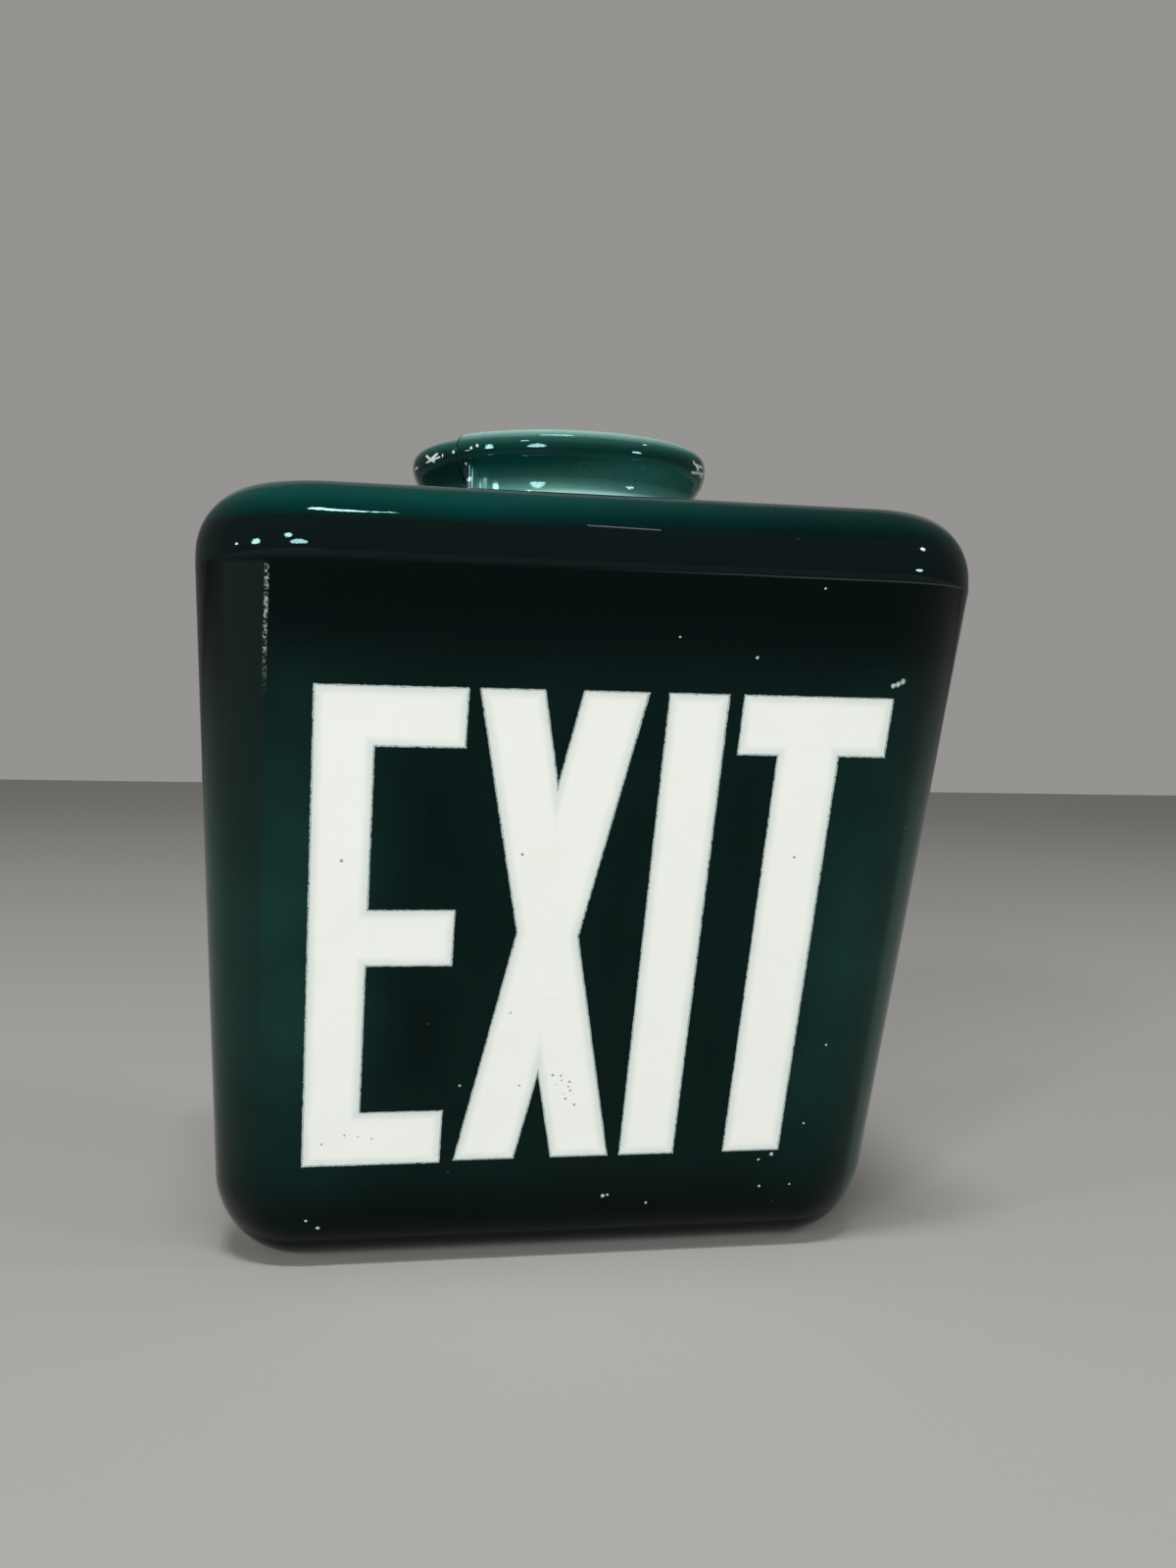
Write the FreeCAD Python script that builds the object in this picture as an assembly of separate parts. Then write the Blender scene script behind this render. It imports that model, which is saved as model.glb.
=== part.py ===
import FreeCAD, Part
import math
import os

# Glass globe of a two-faced exit light, in millimetres.
# It is one blown piece: a hollow wedge that hangs by a round neck. It is widest at the
# parting line of its mould and has a flat face on the front and another on the back.
# +Z runs up the neck's axis, the front face looks towards -Y, and the origin is on the
# axis at mid-height of the straight land round the rim, where a shade holder grips it.

# Body, measured at the parting line
parting_width = 233.0
parting_depth = 201.0
parting_corner_r = 37.0
wall = 4.0

# Foot, the rounded lower end of the wedge
body_drop = 217.6            # from the parting line down to the lowest point
foot_width = 220.2
foot_r = 28.1                # round of the lower edge and of its ends
foot_straight = 1.0          # between the front and the back round, at the ends
foot_end_angle = math.radians(84.0)   # off the level, where the round ends in a narrow flat

# Shoulder, from the parting line up to the flat top
shoulder_height = 23.3
shoulder_r = 19.5

# Neck and rim
rim_r = 49.2                 # fits a 4 inch shade holder
rim_land = 3.0               # height of the straight land round the rim
rim_top_r = 4.8              # from the land up to the ground top edge
rim_slope = math.radians(57.0)   # off the level, from the land in to the waist
rim_under_r = 3.5            # round at both ends of that slope
waist_r = 45.0
neck_height = 19.2           # from the shoulder's flat top up to the middle of the land
neck_root_r = 7.0            # hollow round between the waist and the shoulder
neck_wall = 4.5              # thickness of the neck at the waist
mouth_bevel = 1.5            # at the upper end of the bore
bore_root_bevel = 3.0        # at the lower end of the bore

# Web that the joint of the neck mould leaves in the waist, on two opposite sides
web_r = 3.2
web_proud = 3.4              # how far the web stands out of the waist
web_azimuth = 221.0          # degrees about +Z from +X, so front left and back right

# Strips that the body's curved areas are made of, from one level section to the next
round_steps = 8              # round the foot, and again round the shoulder
side_steps = 2               # where the ends already curve in and the faces are still flat
flank_steps = 4              # up the flat part of the ends

# Values that follow from the ones above
foot_centre_drop = body_drop - foot_r * math.sin(foot_end_angle)
foot_half_x = foot_width / 2 - foot_r
foot_half_y = foot_straight / 2
shoulder_z = -neck_height
parting_z = shoulder_z - shoulder_height
ceiling_z = shoulder_z - wall
neck_root_end = waist_r + neck_root_r
bore_r = waist_r - neck_wall
rim_height = rim_land / 2 + rim_top_r
slope_top = -rim_land / 2 - rim_under_r * math.tan((math.pi / 2 - rim_slope) / 2)
slope_foot = slope_top - (rim_r - waist_r) * math.tan(rim_slope)


def rounded_outline(corners):
    """Closed wire through the corners; each one is a point and the radius that rounds it."""
    arcs = []
    for index, (here, radius) in enumerate(corners):
        before = (corners[index - 1][0] - here).normalize()
        after = (corners[(index + 1) % len(corners)][0] - here).normalize()
        half_angle = before.getAngle(after) / 2
        setback = radius / math.tan(half_angle)
        inward = (before + after).normalize()
        middle = here + inward * (radius / math.sin(half_angle) - radius)
        arcs.append((here + before * setback, middle, here + after * setback))
    edges = []
    for index, (start, middle, end) in enumerate(arcs):
        if corners[index][1] > 0:
            edges.append(Part.Arc(start, middle, end).toShape())
        next_start = arcs[(index + 1) % len(arcs)][0]
        if end.distanceToPoint(next_start) > 0.001:
            edges.append(Part.LineSegment(end, next_start).toShape())
    return Part.Wire(edges)


def turned(corners):
    """Solid of revolution about the neck's axis; each corner is a radius, a height, a round."""
    outline = rounded_outline([(FreeCAD.Vector(x, 0, z), r) for x, z, r in corners])
    return Part.Face(outline).revolve(FreeCAD.Vector(0, 0, 0), FreeCAD.Vector(0, 0, 1), 360)


def spaced(first, last, steps):
    """Values from first to last in equal steps, both ends included."""
    return [first + (last - first) * i / steps for i in range(steps + 1)]


def lean_of(half_size, foot_half):
    """Angle off the vertical of the flat side that touches the foot's round."""
    run = half_size - foot_half
    return math.acos(foot_r / math.hypot(run, foot_centre_drop)) - math.atan2(foot_centre_drop, run)


def wedge(inset):
    """The solid form of the body without its neck, drawn in by the inset all round."""
    round_r = foot_r - inset
    top_r = shoulder_r - inset
    side_lean = lean_of(parting_width / 2, foot_half_x)
    face_lean = lean_of(parting_depth / 2, foot_half_y)
    side_end = foot_centre_drop + round_r * math.sin(side_lean)
    face_end = foot_centre_drop + round_r * math.sin(face_lean)
    parting_x = parting_width / 2 - inset / math.cos(side_lean)
    parting_y = parting_depth / 2 - inset / math.cos(face_lean)
    corner_r = parting_corner_r - inset
    foot_corner_r = round_r * math.cos(face_lean)

    def section(half_x, half_y, radius, z):
        signs = ((1, 1), (-1, 1), (-1, -1), (1, -1))
        return rounded_outline([(FreeCAD.Vector(i * half_x, j * half_y, z), radius) for i, j in signs])

    sections = []
    for turn in spaced(foot_end_angle, face_lean, round_steps)[:-1]:
        reach = round_r * math.cos(turn)
        z = parting_z - foot_centre_drop - round_r * math.sin(turn)
        sections.append(section(foot_half_x + reach, foot_half_y + reach, reach, z))
    for drop in spaced(face_end, side_end, side_steps)[:-1] + spaced(side_end, 0, flank_steps):
        half_x = parting_x - drop * math.tan(side_lean)
        if drop > side_end:
            half_x = foot_half_x + math.sqrt(round_r ** 2 - (drop - foot_centre_drop) ** 2)
        half_y = parting_y - drop * math.tan(face_lean)
        radius = corner_r + (foot_corner_r - corner_r) * drop / face_end
        sections.append(section(half_x, half_y, radius, parting_z - drop))
    for turn in spaced(0, math.pi / 2, round_steps):
        draw_in = top_r * (1 - math.cos(turn))
        z = shoulder_z - inset - top_r + top_r * math.sin(turn)
        sections.append(section(parting_x - draw_in, parting_y - draw_in, corner_r - draw_in, z))
    return Part.makeLoft(sections, True, True).removeSplitter()


def web(azimuth):
    """Upright half-round bar in the waist, from the shoulder up into the rim."""
    foot = FreeCAD.Vector(waist_r + web_proud - web_r, 0, shoulder_z)
    bar = Part.makeCylinder(web_r, neck_height - rim_land / 2, foot)
    bar.rotate(FreeCAD.Vector(0, 0, 0), FreeCAD.Vector(0, 0, 1), azimuth)
    return bar


neck = turned([
    (0, ceiling_z, 0),
    (neck_root_end, ceiling_z, 0),
    (neck_root_end, shoulder_z, 0),
    (waist_r, shoulder_z, neck_root_r),
    (waist_r, slope_foot, rim_under_r),
    (rim_r, slope_top, rim_under_r),
    (rim_r, rim_height, rim_top_r),
    (0, rim_height, 0),
])
bore = turned([
    (0, ceiling_z, 0),
    (bore_r + bore_root_bevel, ceiling_z, 0),
    (bore_r, ceiling_z + bore_root_bevel, 0),
    (bore_r, rim_height - mouth_bevel, 0),
    (bore_r + mouth_bevel, rim_height, 0),
    (0, rim_height, 0),
])

outside = wedge(0).fuse([neck, web(web_azimuth), web(web_azimuth + 180)])
inside = wedge(wall).fuse(bore)
globe = outside.cut(inside).removeSplitter()

os.makedirs("parts", exist_ok=True)
globe.Solids[0].exportStep("parts/glass_globe.step")
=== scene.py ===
import math

import bmesh
import bpy
from mathutils import Matrix, Vector


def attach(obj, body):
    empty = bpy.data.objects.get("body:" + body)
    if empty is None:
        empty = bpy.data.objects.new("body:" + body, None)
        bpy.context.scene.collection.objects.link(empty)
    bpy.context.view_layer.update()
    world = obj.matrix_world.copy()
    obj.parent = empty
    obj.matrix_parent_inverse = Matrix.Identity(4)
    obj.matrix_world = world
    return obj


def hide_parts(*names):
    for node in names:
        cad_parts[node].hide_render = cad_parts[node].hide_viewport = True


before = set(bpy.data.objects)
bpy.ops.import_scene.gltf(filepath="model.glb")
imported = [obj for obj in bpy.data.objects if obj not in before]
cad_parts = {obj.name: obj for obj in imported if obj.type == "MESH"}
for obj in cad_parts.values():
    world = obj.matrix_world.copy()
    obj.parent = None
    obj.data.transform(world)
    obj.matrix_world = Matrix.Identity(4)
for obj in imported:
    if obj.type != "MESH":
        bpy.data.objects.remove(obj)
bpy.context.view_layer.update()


# Blown body of the globe
# A hollow wedge of opal glass, blown into a two-part mould and cased in dark green.
# It hangs by its neck, and everything else on it is part of this one wall.
# Sizes are in millimetres until the finished mesh is scaled to metres.
parting_width, parting_depth, parting_corner = 233.0, 201.0, 37.0
wall = 4.0
body_drop, foot_width, foot_round, foot_straight = 217.6, 220.2, 28.1, 1.0
foot_end_angle = math.radians(84)
shoulder_height, shoulder_round = 23.3, 19.5
neck_height = 19.2
corner_steps, foot_steps, flank_steps, shoulder_steps = 20, 16, 8, 12

shoulder_z = -neck_height
parting_z = shoulder_z - shoulder_height
ceiling_z = shoulder_z - wall
foot_centre = body_drop - foot_round * math.sin(foot_end_angle)
foot_half_x = foot_width / 2 - foot_round
foot_half_y = foot_straight / 2


def lean_of(half_size, foot_half):
    """Angle off the vertical of the flat side that touches the round of the foot."""
    run = half_size - foot_half
    return math.acos(foot_round / math.hypot(run, foot_centre)) - math.atan2(foot_centre, run)


side_lean = lean_of(parting_width / 2, foot_half_x)
face_lean = lean_of(parting_depth / 2, foot_half_y)


def level_ring(mesh, half_x, half_y, corner, z):
    """A level rectangle whose corners are bevelled round; returns its loop of edges."""
    before = set(mesh.edges)
    signs = ((1, 1), (-1, 1), (-1, -1), (1, -1))
    points = [mesh.verts.new((i * half_x, j * half_y, z)) for i, j in signs]
    for start, end in zip(points, points[1:] + points[:1]):
        mesh.edges.new((start, end))
    bmesh.ops.bevel(mesh, geom=points, offset=corner, offset_type="OFFSET",
                    segments=corner_steps, profile=0.5, affect="VERTICES", material=-1)
    return [edge for edge in mesh.edges if edge not in before]


def body_rings(mesh, inset):
    """Level rings of the body from the foot up to the shoulder, drawn in by the inset."""
    round_r = foot_round - inset
    side_end = foot_centre + round_r * math.sin(side_lean)
    face_end = foot_centre + round_r * math.sin(face_lean)
    corner = parting_corner - inset
    foot_corner = round_r * math.cos(face_lean)

    def half_size(drop, parting_size, foot_half, lean, flat_end):
        """Half the width or depth of the body at a drop below the parting line."""
        if drop <= flat_end:
            return parting_size / 2 - inset / math.cos(lean) - drop * math.tan(lean)
        return foot_half + math.sqrt(round_r ** 2 - (drop - foot_centre) ** 2)

    rings = []
    foot_arc = face_lean - foot_end_angle
    turns = [foot_end_angle + foot_arc * i / foot_steps for i in range(foot_steps)]
    drops = [foot_centre + round_r * math.sin(turn) for turn in turns]
    drops += [face_end, (2 * face_end + side_end) / 3, (face_end + 2 * side_end) / 3]
    drops += [side_end * (1 - i / flank_steps) for i in range(flank_steps + 1)]
    for drop in drops:
        half_x = half_size(drop, parting_width, foot_half_x, side_lean, side_end)
        half_y = half_size(drop, parting_depth, foot_half_y, face_lean, face_end)
        radius = half_y - foot_half_y
        if drop <= face_end:
            radius = corner + (foot_corner - corner) * drop / face_end
        rings.append(level_ring(mesh, half_x, half_y, radius, parting_z - drop))

    top_r = shoulder_round - inset
    half_x = parting_width / 2 - inset / math.cos(side_lean)
    half_y = parting_depth / 2 - inset / math.cos(face_lean)
    for i in range(shoulder_steps + 1):
        turn = math.pi / 2 * i / shoulder_steps
        draw_in = top_r * (1 - math.cos(turn))
        z = shoulder_z - inset - top_r + top_r * math.sin(turn)
        rings.append(level_ring(mesh, half_x - draw_in, half_y - draw_in, corner - draw_in, z))
    return rings


case_slot, opal_slot, inside_slot, edge_slot = range(4)
glass = bmesh.new()
skins = []
for inset, slot in ((0, case_slot), (wall, inside_slot)):
    before = set(glass.faces)
    rings = body_rings(glass, inset)
    for lower, upper in zip(rings, rings[1:]):
        bmesh.ops.bridge_loops(glass, edges=lower + upper)
    bmesh.ops.edgeloop_fill(glass, edges=rings[0])
    skins.append(rings)
    for face in glass.faces:
        if face not in before:
            face.material_index = slot


# Neck and rim
# The neck was shaped in its own two-part mould, and its rolled rim was ground flat on top.
# A shade holder's screws grip in the waist under the rim. The mould's joint left an upright
# web in the waist on two sides, and one half of the rim sits a little lower than the other.
rim_r, rim_height = 49.2, 6.3
rim_slope, slope_top, slope_foot_setback = math.radians(57), -2.5, 1.0
widest_z, widest_land = 1.1, 1.6
waist_r, neck_root_round = 45.0, 7.0
bore_r, mouth_round, bore_root_round = 40.5, 1.5, 3.0
joint_azimuth, low_half_drop = math.radians(218.6), 1.2
webs = ((math.radians(5.2), 3.1, 3.3), (math.radians(10.8), 1.9, 1.5))
web_roundness = 0.6
join_width = 2.0
neck_steps, round_steps = 540, 8

slope_foot = slope_top - (rim_r - waist_r) * math.tan(rim_slope)
neck_profile = [
    (waist_r + neck_root_round + join_width, shoulder_z, 0),
    (waist_r, shoulder_z, neck_root_round),
    (waist_r, slope_foot, slope_foot_setback),
    (rim_r, slope_top, widest_z - widest_land / 2 - slope_top),
    (rim_r, rim_height, rim_height - widest_z - widest_land / 2),
    (bore_r, rim_height, mouth_round),
    (bore_r, ceiling_z, bore_root_round),
    (bore_r + bore_root_round + join_width, ceiling_z, 0),
]
points = [glass.verts.new((x, 0, z)) for x, z, setback in neck_profile]
before = set(glass.edges) | set(glass.verts)
for start, end in zip(points, points[1:]):
    glass.edges.new((start, end))
for point, (x, z, setback) in zip(points, neck_profile):
    if setback > 0:
        bmesh.ops.bevel(glass, geom=[point], offset=setback, offset_type="OFFSET",
                        segments=round_steps, profile=0.5, affect="VERTICES", material=-1)
profile = [part for part in list(glass.edges) if part not in before]
profile += list({vert for edge in profile for vert in edge.verts})
bmesh.ops.spin(glass, geom=profile, axis=(0, 0, 1), cent=(0, 0, 0), angle=2 * math.pi,
               steps=neck_steps, use_merge=True)


def circle_edges(mesh, radius, z):
    """The edges of the neck that lie on one level circle."""
    def on_circle(vert):
        return abs(math.hypot(vert.co.x, vert.co.y) - radius) < 0.01 and abs(vert.co.z - z) < 0.01
    return [edge for edge in mesh.edges if all(on_circle(vert) for vert in edge.verts)]


root_start_r = neck_profile[0][0]
bore_end_r = neck_profile[-1][0]
bmesh.ops.bridge_loops(glass, edges=skins[0][-1] + circle_edges(glass, root_start_r, shoulder_z))
outside_faces = set(glass.faces)
bmesh.ops.bridge_loops(glass, edges=skins[1][-1] + circle_edges(glass, bore_end_r, ceiling_z))
for face in glass.faces:
    centre = face.calc_center_median()
    reach = math.hypot(centre.x, centre.y)
    under_mouth = ceiling_z < centre.z < rim_height - mouth_round / 2
    in_bore = under_mouth and reach < bore_r + mouth_round / 2
    if in_bore or face not in outside_faces:
        face.material_index = inside_slot


def turn_from(azimuth, vert):
    """Signed angle about the neck's axis from an azimuth to a vertex, within half a turn."""
    turn = math.atan2(vert.co.y, vert.co.x) - azimuth
    return (turn + math.pi) % (2 * math.pi) - math.pi


outer_side_r = bore_r + 2.0
web_foot, rim_foot = shoulder_z + 0.5, slope_top / 2
for vert in glass.verts:
    radius = math.hypot(vert.co.x, vert.co.y)
    if radius > root_start_r - join_width or vert.co.z < web_foot:
        continue
    if radius > outer_side_r and vert.co.z < rim_foot:
        for joint in (joint_azimuth, joint_azimuth - math.pi):
            for beside, half_width, proud in webs:
                aside = waist_r * turn_from(joint + beside, vert) / half_width
                if abs(aside) < 1:
                    crest = waist_r + proud * math.cos(aside * math.pi / 2) ** web_roundness
                    if crest > radius:
                        vert.co.xy *= crest / radius
    if vert.co.z > rim_foot and -math.pi < turn_from(joint_azimuth, vert) < 0:
        share_up = (vert.co.z - rim_foot) / (rim_height - rim_foot)
        vert.co.z -= low_half_drop * min(share_up * 2, 1)


# Sign letters
# The word is cleared through the green case on the front face and again on the back one,
# so its letters are the bare opal glass, a hair lower than the green.
# A place on a sign face is across, rightwards as it is read, and down, from the parting line.
letter_top, letter_foot = 35.7, 192.8
letter_sink = 0.15
facing_share, skin_depth, line_end = 0.93, 1.5, 50
upright_bars = {
    "E_stem": (-83.1, -66.2, letter_top, 193.4),
    "E_top_arm": (-83.1, -40.4, letter_top, 53.3),
    "E_middle_arm": (-83.1, -40.5, 105.0, 123.2),
    "E_foot_arm": (-83.1, -40.6, 174.6, 193.4),
    "I_stem": (17.9, 35.5, letter_top, letter_foot),
    "T_arm": (40.3, 86.1, letter_top, 53.9),
    "T_stem": (52.7, 71.4, letter_top, letter_foot),
}
slanted_bars = {
    "X_falling": (-36.9, -4.6, 18.2),
    "X_rising": (-7.2, -35.8, 18.8),
}


def in_word(across, down):
    """Whether a place on a sign face lies on one of the letters."""
    for left, right, top, foot in upright_bars.values():
        if left < across < right and top < down < foot:
            return True
    for left_at_top, left_at_foot, bar_width in slanted_bars.values():
        share = (down - letter_top) / (letter_foot - letter_top)
        left = left_at_top + (left_at_foot - left_at_top) * share
        if 0 < share < 1 and left < across < left + bar_width:
            return True
    return False


bmesh.ops.recalc_face_normals(glass, faces=glass.faces)
for face in glass.faces:
    face.smooth = True

for side in (-1, 1):
    outward = Vector((0, side * math.cos(face_lean), -math.sin(face_lean)))
    rightward = Vector((-side, 0, 0))
    downward = Vector((0, -side * math.sin(face_lean), -math.cos(face_lean)))
    face_start = Vector((0, side * parting_depth / 2, parting_z))

    def on_face(across, down):
        """The point on this sign face at a place across and down."""
        return face_start + rightward * across + downward * down

    def sign_faces():
        """The faces of the mesh that lie on this sign face."""
        near = [face for face in glass.faces if face.normal.dot(outward) > facing_share]
        return [face for face in near
                if (face.calc_center_median() - face_start).dot(outward) > -skin_depth]

    def cut(start, end):
        """Cuts the sign face along the line between two places on it."""
        faces = sign_faces()
        parts = faces + list({e for face in faces for e in face.edges})
        parts += list({v for face in faces for v in face.verts})
        across_line = (end - start).cross(outward).normalized()
        bmesh.ops.bisect_plane(glass, geom=parts, dist=0.001, plane_co=start, plane_no=across_line)

    for down in sorted({value for bar in upright_bars.values() for value in bar[2:]}):
        cut(on_face(-line_end, down), on_face(line_end, down))
    for across in sorted({value for bar in upright_bars.values() for value in bar[:2]}):
        cut(on_face(across, letter_top), on_face(across, letter_foot))
    for left_at_top, left_at_foot, bar_width in slanted_bars.values():
        for shift in (0, bar_width):
            cut(on_face(left_at_top + shift, letter_top),
                on_face(left_at_foot + shift, letter_foot))

    word = []
    for face in sign_faces():
        offset = face.calc_center_median() - face_start
        if in_word(offset.dot(rightward), offset.dot(downward)):
            face.material_index = opal_slot
            word.append(face)
    border = bmesh.ops.inset_region(glass, faces=word, thickness=letter_sink, depth=-letter_sink,
                                    use_even_offset=True)
    for face in border["faces"]:
        face.material_index = edge_slot

metre = 1000
bmesh.ops.scale(glass, verts=glass.verts, vec=(1 / metre, 1 / metre, 1 / metre))
globe_mesh = bpy.data.meshes.new("exit_globe")
glass.to_mesh(globe_mesh)
glass.free()
globe = bpy.data.objects.new("exit_globe", globe_mesh)
bpy.context.scene.collection.objects.link(globe)
smooth_normals = globe.modifiers.new("weighted_normals", "WEIGHTED_NORMAL")
smooth_normals.weight = 100
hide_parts("glass_globe")
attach(globe, "root")


# Green case and opal glass
# The green is a thin skin of glass over white opal, and nearly black where it is thick.
# A painted glow makes it a deep sea green near the letters and the corners, painted light
# makes it teal over the shoulder, and the neck has painted light and shade. Bare opal shows
# in the letters, and in chips round the rim.
def feed(node, inputs):
    """Sets the sockets of a node, or links them where the value is a wire."""
    for name, value in inputs.items():
        if isinstance(value, Wire):
            node.id_data.links.new(value.socket, node.inputs[name])
        else:
            node.inputs[name].default_value = value


class Wire:
    """A value in a material's node tree. Arithmetic on it adds Math nodes to the tree."""

    def __init__(self, tree, socket=None):
        self.tree = tree
        self.socket = socket

    def node(self, kind, settings, inputs, output=0):
        """Adds one node: its settings come first, then the values or links of its sockets."""
        made = self.tree.nodes.new(kind)
        for name, value in settings.items():
            if name == "stops":
                for position, colour in value[2:]:
                    made.color_ramp.elements.new(position)
                for element, (position, colour) in zip(made.color_ramp.elements, value):
                    element.position = position
                    element.color = colour
            else:
                setattr(made, name, value)
        feed(made, inputs)
        return Wire(self.tree, made.outputs[output])

    def maths(self, operation, *values):
        return self.node("ShaderNodeMath", {"operation": operation}, dict(enumerate(values)))

    def __add__(self, other):
        return self.maths("ADD", self, other)

    def __sub__(self, other):
        return self.maths("SUBTRACT", self, other)

    def __mul__(self, other):
        return self.maths("MULTIPLY", self, other)

    def __truediv__(self, other):
        return self.maths("DIVIDE", self, other)

    def __neg__(self):
        return self.maths("MULTIPLY", self, -1)

    def __radd__(self, other):
        return self.maths("ADD", other, self)

    def __rsub__(self, other):
        return self.maths("SUBTRACT", other, self)

    def __rmul__(self, other):
        return self.maths("MULTIPLY", other, self)

    def lesser(self, other):
        return self.maths("MINIMUM", self, other)

    def greater(self, other):
        return self.maths("MAXIMUM", self, other)

    def absolute(self):
        return self.maths("ABSOLUTE", self)

    def rise(self, low, high):
        """A soft step from 0 at low to 1 at high; low may be the larger one."""
        return self.node("ShaderNodeMapRange", {"interpolation_type": "SMOOTHSTEP"},
                         {"Value": self, "From Min": low, "From Max": high})

    def blend(self, first, second):
        """A mix of two colours, with this value as the share of the second one."""
        return self.node("ShaderNodeMix", {"data_type": "RGBA"}, {0: self, 6: first, 7: second}, 2)

    def vector(self, operation, other, output=0):
        """Vector maths on this place and another one."""
        return self.node("ShaderNodeVectorMath", {"operation": operation},
                         {0: self, 1: other}, output)

    def axis(self, name):
        """The X, Y or Z of this place."""
        return self.node("ShaderNodeSeparateXYZ", {}, {0: self}, name)

    def noise(self, scale, detail=2, stretch=(1, 1, 1)):
        """Noise from 0 to 1 whose size is given as its number of waves in a millimetre."""
        stretched = self.vector("MULTIPLY", stretch)
        return self.node("ShaderNodeTexNoise", {},
                         {"Vector": stretched, "Scale": scale, "Detail": detail})

    def bump(self, metres):
        """The surface's normal where this value lifts the surface by so many metres."""
        return self.node("ShaderNodeBump", {},
                         {"Height": self, "Strength": 1.0, "Distance": metres}, "Normal")


def new_finish(name):
    """A material with its shader and the place on the piece, in millimetres."""
    finish = bpy.data.materials.new(name)
    finish.use_nodes = True
    tree = finish.node_tree
    place = Wire(tree).node("ShaderNodeTexCoord", {}, {}, "Object")
    place = place.node("ShaderNodeVectorMath", {"operation": "SCALE"}, {0: place, "Scale": metre})
    return finish, tree.nodes["Principled BSDF"], place


def letter_depth(place):
    """How deep a place on a sign face lies inside the letters; negative outside them."""
    y = place.axis("Y")
    across = -place.axis("X") * y.maths("SIGN", y)
    down = (parting_z - place.axis("Z")) / math.cos(face_lean)
    depths = []
    for left, right, top, foot in upright_bars.values():
        from_side = (right - left) / 2 - (across - (left + right) / 2).absolute()
        from_end = (foot - top) / 2 - (down - (top + foot) / 2).absolute()
        depths.append(from_side.lesser(from_end))
    for left_at_top, left_at_foot, bar_width in slanted_bars.values():
        slant = (left_at_foot - left_at_top) / (letter_foot - letter_top)
        aside = across - left_at_top - bar_width / 2 - (down - letter_top) * slant
        from_side = (bar_width / 2 - aside.absolute()) * math.cos(math.atan(slant))
        from_middle = (down - (letter_top + letter_foot) / 2).absolute()
        from_end = (letter_foot - letter_top) / 2 - from_middle
        depths.append(from_side.lesser(from_end))
    deepest = depths[0]
    for depth in depths[1:]:
        deepest = deepest.greater(depth)
    return deepest


def sign_spots(spots):
    """Spots on the front sign face, from places across and down on it and their radii."""
    placed = []
    for across, down, radius in spots:
        y = -parting_depth / 2 + down * math.sin(face_lean)
        z = parting_z - down * math.cos(face_lean)
        placed.append(((across, y, z), radius))
    return placed


def marks(place, spots, ragged, lines=()):
    """1 inside any spot or line, each given by its ends and half width; ragged roughens them."""
    nearest = None
    for start, end, half_width in [(spot, spot, radius) for spot, radius in spots] + list(lines):
        run = Vector(end) - Vector(start)
        point = start
        if run.length > 0:
            share = place.vector("SUBTRACT", start)
            share = share.vector("DOT_PRODUCT", run / run.length_squared, "Value")
            share = share.greater(0).lesser(1)
            along = share.node("ShaderNodeVectorMath", {"operation": "SCALE"},
                               {0: run, "Scale": share})
            point = along.vector("ADD", start)
        far = place.vector("DISTANCE", point, "Value") / half_width
        nearest = far if nearest is None else nearest.lesser(far)
    return (nearest + ragged).rise(1.08, 0.92)


opal_white = (0.80, 0.83, 0.785, 1)
opal_cream = (0.80, 0.78, 0.70, 1)
opal_rim_and_shade_grey = (0.60, 0.67, 0.645, 1)
speck_grey = (0.10, 0.13, 0.12, 1)
case_black = (0.0001, 0.0005, 0.0006, 1)
case_green = (0.0052, 0.026, 0.0215, 1)
shoulder_lit_teal = (0.0010, 0.034, 0.029, 1)
case_gloss = (0.45, 0.85, 0.86, 1)
left_reflection_grey = (0.0060, 0.0105, 0.0085, 1)
right_light_green = (0.020, 0.055, 0.047, 1)
shoulder_reflection_grey = (0.020, 0.042, 0.040, 1)
neck_lit_side_green = (0.022, 0.12, 0.10, 1)
neck_frost = (0.060, 0.185, 0.160, 1)
neck_root_highlight = (0.30, 0.48, 0.44, 1)
neck_shade = (0.0012, 0.012, 0.010, 1)
joint_dark = (0.0005, 0.004, 0.0035, 1)
chip_and_glint_white = (0.62, 0.70, 0.67, 1)
# Neck colour by height: painted light low in the waist, painted shade under the rim, and a paler
# ground top
neck_tone_and_light_stops = (
    (0.00, (0.010, 0.070, 0.056, 1)),
    (0.12, (0.030, 0.105, 0.088, 1)),
    (0.24, (0.042, 0.125, 0.107, 1)),
    (0.30, (0.070, 0.185, 0.160, 1)),
    (0.37, (0.034, 0.112, 0.094, 1)),
    (0.44, (0.016, 0.072, 0.058, 1)),
    (0.52, (0.005, 0.044, 0.036, 1)),
    (0.60, (0.0020, 0.027, 0.0215, 1)),
    (0.72, (0.0010, 0.0155, 0.0125, 1)),
    (0.80, (0.0045, 0.029, 0.023, 1)),
    (0.88, (0.017, 0.070, 0.058, 1)),
    (0.94, (0.12, 0.23, 0.205, 1)),
    (0.98, (0.28, 0.40, 0.36, 1)),
)

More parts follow.
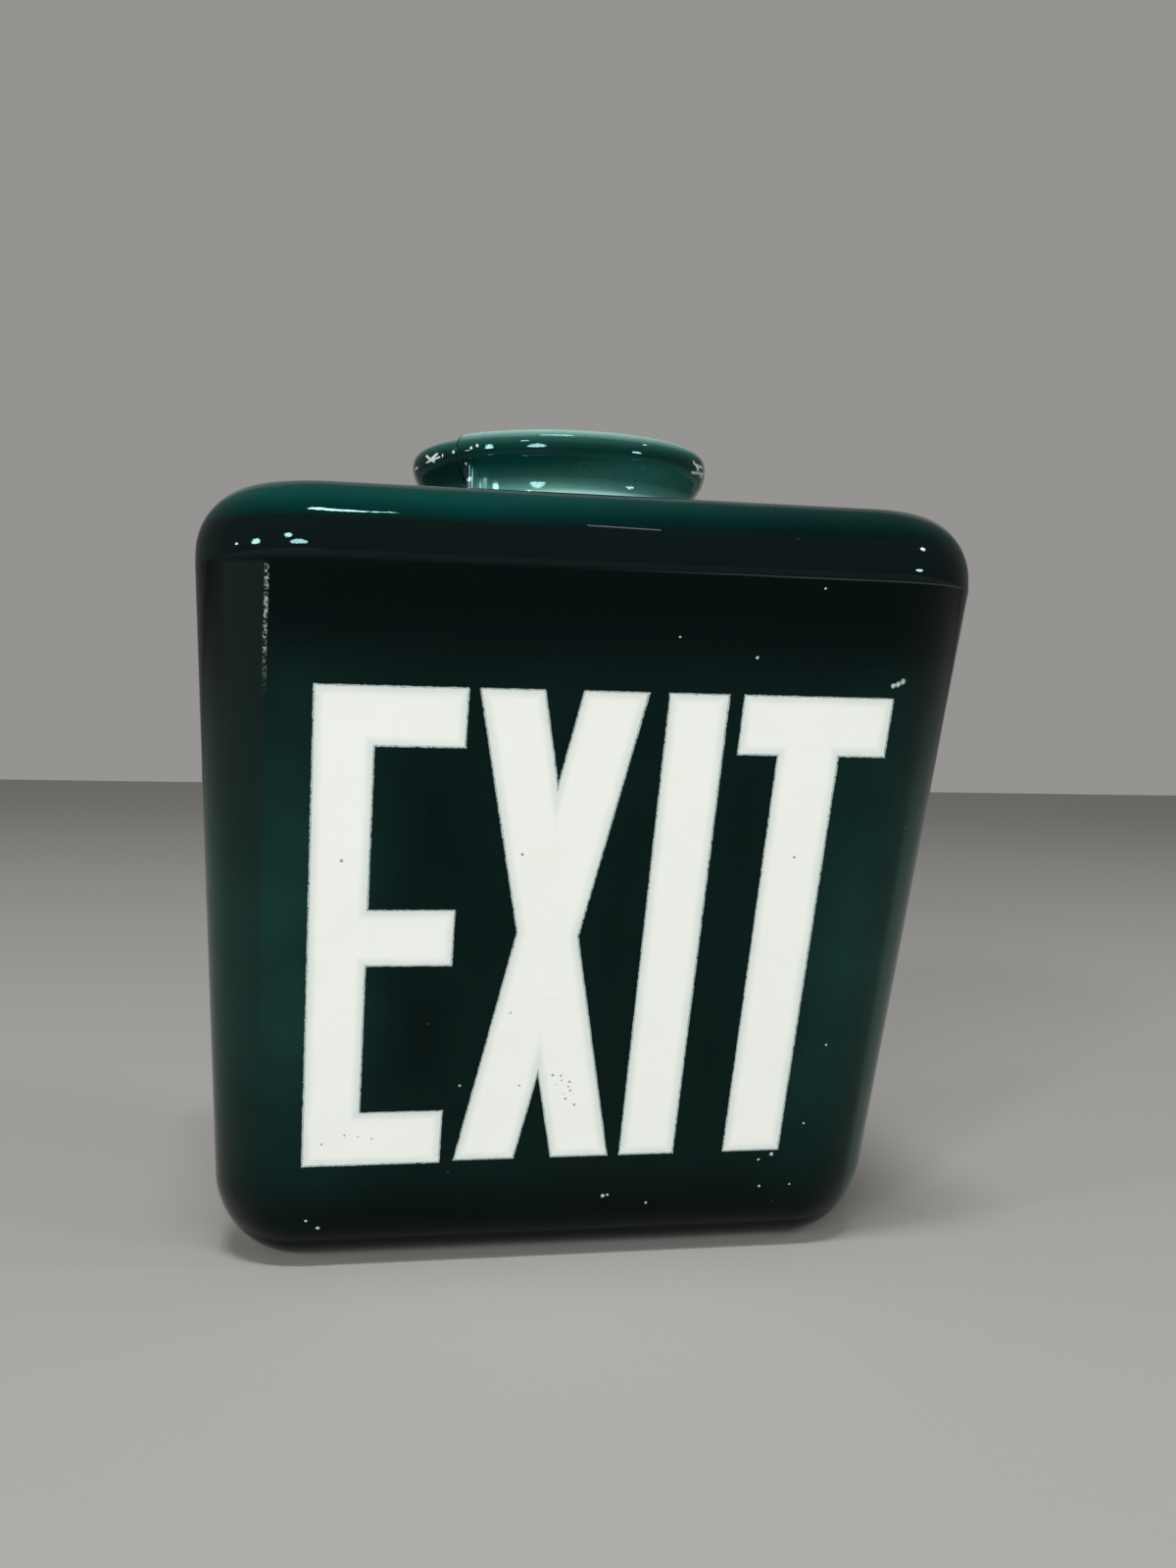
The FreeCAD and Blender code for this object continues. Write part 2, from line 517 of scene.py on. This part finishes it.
face_chips = sign_spots([
    (85.4, 31.6, 0.8), (87.0, 31.2, 1.0), (88.6, 30.4, 1.2), (90.2, 29.4, 0.9),
    (42.4, 24.1, 0.45), (59.9, 2.9, 0.3), (18.8, 18.7, 0.28), (-77.7, 217.2, 0.7),
    (-81.5, 214.0, 0.45), (-35.5, 165.5, 0.35), (82.5, 153.4, 0.35), (69.6, 194.7, 0.6),
    (65.4, 196.7, 0.4), (67.0, 207.2, 0.4), (79.1, 183.0, 0.35), (13.9, 208.7, 0.6),
    (15.4, 208.4, 0.4), (28.7, 212.1, 0.4), (77.5, 206.9, 0.35), (96.4, 151.3, 0.7),
])
letter_specks = sign_spots([
    (-6.4, 162.6, 0.45), (-3.7, 162.8, 0.4), (-3.3, 164.5, 0.35), (-0.8, 165.1, 0.45),
    (-1.0, 166.9, 0.35), (-0.3, 168.3, 0.4), (-1.6, 171.3, 0.45), (1.5, 173.6, 0.45),
    (-5.2, 166.0, 0.25), (-2.4, 169.4, 0.25), (-74.1, 89.0, 0.5), (-21.5, 86.7, 0.5),
    (62.4, 87.2, 0.45), (-21.3, 140.0, 0.35), (-16.7, 166.1, 0.4), (-77.3, 185.6, 0.4),
    (-70.4, 182.6, 0.35), (-66.2, 183.2, 0.3), (-62.0, 184.1, 0.35),
])
rim_chips = [
    ((-42.3, -25.3, -0.3), 0.5), ((-39.3, -29.6, 0.3), 0.5), ((-34.5, -35.3, 0.8), 0.5),
    ((-32.7, -36.8, 1.3), 0.45), ((-33.7, -32.0, 5.3), 0.4), ((-35.8, -32.7, -3.9), 0.4),
    ((-34.5, -33.6, -8.7), 0.7), ((-34.9, -34.0, -10.6), 0.5), ((-31.2, -35.4, -10.9), 0.5),
    ((-44.7, -20.6, -0.9), 0.9), ((41.6, -27.2, -0.4), 1.0), ((43.2, -24.4, -2.6), 0.9),
]
rim_scratches = [
    ((-46.5, -16.1, 1.0), (-44.7, -20.5, -1.5), 0.4),
    ((-43.7, -22.7, 0.6), (-45.7, -18.3, -0.9), 0.4),
    ((-43.1, -24.0, -0.6), (-45.0, -20.1, -1.0), 0.35),
    ((-49.1, -3.5, -1.5), (-45.2, -19.6, -1.0), 0.32),
    ((38.7, -30.3, 1.2), (41.7, -26.2, -0.4), 0.45),
    ((40.3, -28.4, 0.6), (43.8, -22.6, 0.9), 0.4),
    ((38.5, -30.3, -2.2), (45.4, -19.1, -0.6), 0.45),
    ((42.5, -25.0, -1.2), (44.6, -21.0, -2.0), 0.6),
]
shoulder_scratches = [
    ((-9.4, -98.6, -30.4), (11.2, -98.8, -30.8), 0.16),
    ((51.6, -99.1, -31.5), (45.2, -92.6, -23.0), 0.1),
]
glint_x = -96.6

case_finish, case_shader, place = new_finish("green_case")
x, y, z = place.axis("X"), place.axis("Y"), place.axis("Z")
depth = letter_depth(place)
cloud = place.noise(0.035, 3)
grain = place.noise(2.2, 2)
fine = place.noise(6.0, 1)
uneven = cloud - 0.5

# Painted glow in the green round the letters and the corners, a painted grey reflection down the
# left side of the face, and painted light in a paler band down the right corner
glow_near_letters = depth.rise(-34, 0)
glow_near_corner = x.absolute().rise(52, 90) * z.rise(-50, -145) * z.rise(-262, -165)
green = glow_near_letters * 0.24 * z.rise(-252, -222) + glow_near_corner * 0.75
green = green * (0.5 + cloud) * z.rise(-47, -80)
colour = green.blend(case_black, case_green)
painted_left_reflection = x.rise(-95.6, -97.6) * x.rise(-110, -106) * z.rise(-250, -170) * z.rise(-42.5, -44)
painted_left_reflection = painted_left_reflection * (z.rise(-190, -70) * 0.4 + 0.3)
colour = painted_left_reflection.blend(colour, left_reflection_grey)
painted_right_light = x.rise(97, 101) * z.rise(-60, -150)
colour = (painted_right_light * 0.7).blend(colour, right_light_green)

# Painted light in teal over the shoulder, above a painted grey reflection in a strip along the
# parting line
upper = (z + uneven * 0.8 - x * 0.004).rise(-31.6, -29.4)
painted_shoulder_light = upper * 0.3 + z.rise(-31, -20) * 0.8
painted_shoulder_light = painted_shoulder_light * (x.rise(60, -60) * 0.75 + 0.5) * (0.75 + cloud * 0.5)
colour = painted_shoulder_light.blend(colour, shoulder_lit_teal)
strip = z.rise(-43.2, -41.5) * (1 - upper)
colour = (strip * 0.12).blend(colour, shoulder_reflection_grey)
seam = (z - parting_z - uneven * 0.5).absolute().rise(0.30, 0.10) * x.rise(-20, 60)

# Neck, paler towards the ground top of the rim where the green is thin, with painted shade under
# the rim and on its left, painted light low in the waist and on its right, and a painted highlight
# round its root
neck_share = (z + neck_height) / (neck_height + rim_height) + (grain - 0.5) * 0.05
neck_colour = neck_share.node("ShaderNodeValToRGB", {"stops": neck_tone_and_light_stops}, {"Fac": neck_share})
painted_side_light = x.rise(-8, 26) * z.rise(-17, -11) * z.rise(0.5, -5)
neck_colour = (painted_side_light * 0.6).blend(neck_colour, neck_lit_side_green)
frost = grain.rise(0.40, 0.66) * x.rise(-22, 6) * z.rise(-15.5, -12.5) * z.rise(-2.5, -6)
neck_colour = (frost * 0.34).blend(neck_colour, neck_frost)
painted_root_highlight = x.rise(-26, -8) * x.rise(38, 18) * z.rise(-15.2, -13.6) * z.rise(-11.4, -13)
neck_colour = (painted_root_highlight * (0.6 + cloud * 0.6)).blend(neck_colour, neck_root_highlight)
left_shade = x.rise(-31, -36) * z.rise(1, -2)
neck_colour = (left_shade * 0.85).blend(neck_colour, neck_shade)
off_joint = y * math.cos(joint_azimuth) - x * math.sin(joint_azimuth) + uneven * 1.2
joint = off_joint.absolute().rise(0.5, 0.15) * z.rise(-17, -15)
neck_colour = (joint * 0.9).blend(neck_colour, joint_dark)
colour = z.rise(shoulder_z - 0.2, shoulder_z + 3).blend(colour, neck_colour)

# Chips, a painted highlight streak down the left corner, the pale mould seam, dust and the ragged
# edge of the letters
glint_and_seam = (x - glint_x + uneven).absolute().rise(0.75, 0.25) * place.noise(1.1, 3).rise(0.42, 0.62)
glint_and_seam = glint_and_seam * z.rise(-80, -58) * z.rise(-43.5, -45.5)
glint_and_seam = (glint_and_seam * 0.45).greater(seam * 0.04)
chips = marks(place, face_chips, (fine - 0.5) * 1.3) * 0.75
chips = chips.greater(marks(place, [], (grain - 0.5) * 0.8, shoulder_scratches) * 0.12)
rim_ragged = (place.noise(1.3, 2) - 0.5) * 1.8
chips = chips.greater(marks(place, rim_chips, rim_ragged, rim_scratches) * 0.85)
dust_cells = {"Vector": place, "Scale": 0.11}
dust_size = place.node("ShaderNodeTexVoronoi", {}, dust_cells, "Color")
dust_size = dust_size.node("ShaderNodeSeparateColor", {}, {0: dust_size})
off_dust = place.node("ShaderNodeTexVoronoi", {}, dust_cells)
dust = (off_dust - (dust_size - 0.72) * 0.13).rise(0.004, -0.004)
ragged_edge = (depth + (grain - 0.5) * 1.6).rise(-0.35, -0.2) * depth.rise(-0.5, -0.3)
wear_and_glint = chips.greater(dust * 0.18).greater(glint_and_seam)
colour = wear_and_glint.blend(colour, chip_and_glint_white)
colour = (ragged_edge * 0.7).blend(colour, opal_rim_and_shade_grey)

# Gloss, a little dulled by smears, by wear and along the painted highlight streak
smear = place.noise(0.09, 4, (1, 1, 0.35)).rise(0.56, 0.72)
roughness = 0.02 + smear * 0.06 + grain * 0.02 + wear_and_glint * 0.4
ripple = place.noise(0.05, 2) * 0.6 + grain * 0.01 - chips * 0.12 + wear_and_glint * 0.03 - joint * 0.5
feed(case_shader, {"Base Color": colour, "Roughness": roughness, "Normal": ripple.bump(0.00045),
                   "IOR": 1.25, "Specular Tint": case_gloss})

opal_finish, opal_shader, place = new_finish("opal_letters")
depth = letter_depth(place)
grain = place.noise(2.2, 2)
fine = place.noise(6.0, 1)
cloud = place.noise(0.06, 3)
# Painted shade: the opal greys towards the edges of the letters
painted_edge_shade = (depth + (cloud - 0.5) * 1.5).rise(3.4, 0.1)
colour = (painted_edge_shade * 0.8).blend(opal_white, opal_rim_and_shade_grey)
colour = (cloud.rise(0.45, 0.75) * 0.16).blend(colour, opal_cream)
specks = marks(place, letter_specks, (fine - 0.5) * 1.3)
colour = (specks * 0.8).blend(colour, speck_grey)
ragged_edge = (depth + (grain - 0.5) * 1.4).rise(0.12, -0.02)
colour = (ragged_edge * 0.8).blend(colour, case_green)
roughness = 0.20 + cloud * 0.16 + grain * 0.05
ripple = grain * 0.2 + place.noise(0.05, 2)
feed(opal_shader, {"Base Color": colour, "Roughness": roughness, "Normal": ripple.bump(0.0003),
                   "IOR": 1.4})

inside_finish, inside_shader, place = new_finish("opal_inside")
cloud = place.noise(0.05, 3)
colour = cloud.rise(0.35, 0.7).blend((0.66, 0.72, 0.69, 1), (0.56, 0.64, 0.61, 1))
feed(inside_shader, {"Base Color": colour, "Roughness": 0.15 + cloud * 0.2})

edge_finish, edge_shader, place = new_finish("case_edge")
grain = place.noise(1.4, 2)
colour = grain.rise(0.35, 0.7).blend((0.40, 0.50, 0.47, 1), (0.10, 0.20, 0.18, 1))
feed(edge_shader, {"Base Color": colour, "Roughness": 0.35})

for finish in (case_finish, opal_finish, inside_finish, edge_finish):
    globe_mesh.materials.append(finish)


# Floor and surround
# A plain pale floor under the foot, a plain pale wall far behind it, and dim even light
# from all round.
def sheet(name, half_size, turn, centre):
    """A flat square sheet, turned about X and moved to its place, with its shader."""
    build = bmesh.new()
    bmesh.ops.create_grid(build, x_segments=1, y_segments=1, size=half_size)
    upright = Matrix.Rotation(turn, 3, "X")
    bmesh.ops.rotate(build, verts=build.verts, cent=(0, 0, 0), matrix=upright)
    bmesh.ops.translate(build, verts=build.verts, vec=centre)
    mesh = bpy.data.meshes.new(name)
    build.to_mesh(mesh)
    build.free()
    piece = bpy.data.objects.new(name, mesh)
    bpy.context.scene.collection.objects.link(piece)
    finish, shader, place = new_finish("pale_" + name)
    mesh.materials.append(finish)
    return piece, shader


floor_z = (parting_z - body_drop) / metre
floor, floor_shader = sheet("floor", 6.0, 0, (0, 0, floor_z))
feed(floor_shader, {"Base Color": (0.38, 0.37, 0.35, 1), "Roughness": 0.9})

backdrop, backdrop_shader = sheet("backdrop", 3.0, math.pi / 2, (1.4, 5.4, floor_z + 3.0))
feed(backdrop_shader, {"Base Color": (0, 0, 0, 1), "Specular IOR Level": 0,
                       "Emission Color": (0.30, 0.295, 0.285, 1), "Emission Strength": 1})

world = bpy.data.worlds.new("studio")
bpy.context.scene.world = world
world.use_nodes = True
feed(world.node_tree.nodes["Background"], {"Color": (0.98, 1, 1, 1), "Strength": 0.15})


# Lamps
# A soft sun from the front left is the key lamp. An oval strip over the shoulder and small
# oval lamps round the front only draw the highlights of the gloss.
def lamp(name, direction, aim, width, height, power):
    """An oval lamp that faces a point on the globe, in millimetres, from one direction."""
    light = bpy.data.lights.new(name, "AREA")
    light.shape = "ELLIPSE"
    light.size, light.size_y = width, height
    light.energy = power
    stand = bpy.data.objects.new(name, light)
    towards = Vector(direction).normalized()
    stand.location = Vector(aim) / metre + towards * lamp_distance
    stand.rotation_euler = towards.to_track_quat("Z", "Y").to_euler()
    bpy.context.scene.collection.objects.link(stand)


key = bpy.data.lights.new("key", "SUN")
key.energy = 0.62
key.angle = math.radians(5.5)
key_stand = bpy.data.objects.new("key", key)
key_stand.rotation_euler = Vector((-0.56, -0.765, 0.33)).to_track_quat("Z", "Y").to_euler()
bpy.context.scene.collection.objects.link(key_stand)

lamp_distance = 3.0
lamp("overhead", (-0.085, -0.40, 0.91), (-70, -98, -29), 1.0, 0.24, 60)
lamp("left_glint", (-0.90, -0.40, 0.18), (-60, -66, -24), 0.38, 0.32, 23)
lamp("far_left_glint", (-0.985, -0.08, 0.15), (-104, -91, -38), 0.16, 0.14, 4.5)
lamp("front_glint", (-0.448, -0.88, 0.16), (-14.5, -45, -4), 0.74, 0.34, 40)
lamp("right_glint", (0.768, -0.347, 0.539), (90, -98, -33), 0.22, 0.20, 8)
lamp("low_right_glint", (0.773, -0.62, 0.127), (51, -72, -22), 0.46, 0.26, 22)


# Camera
# It stands half a metre in front of the globe and a little to its left, where the photograph
# was taken from.
camera = bpy.data.cameras.new("camera")
camera.sensor_width = 36.0
camera.lens = 36.405
camera.clip_start = 0.01
camera_stand = bpy.data.objects.new("camera", camera)
camera_stand.location = (-0.09589, -0.53062, -0.09064)
camera_stand.rotation_euler = [math.radians(turn) for turn in (88.522, -1.112, -11.474)]
bpy.context.scene.collection.objects.link(camera_stand)
bpy.context.scene.camera = camera_stand
bpy.context.scene.view_settings.view_transform = "Standard"
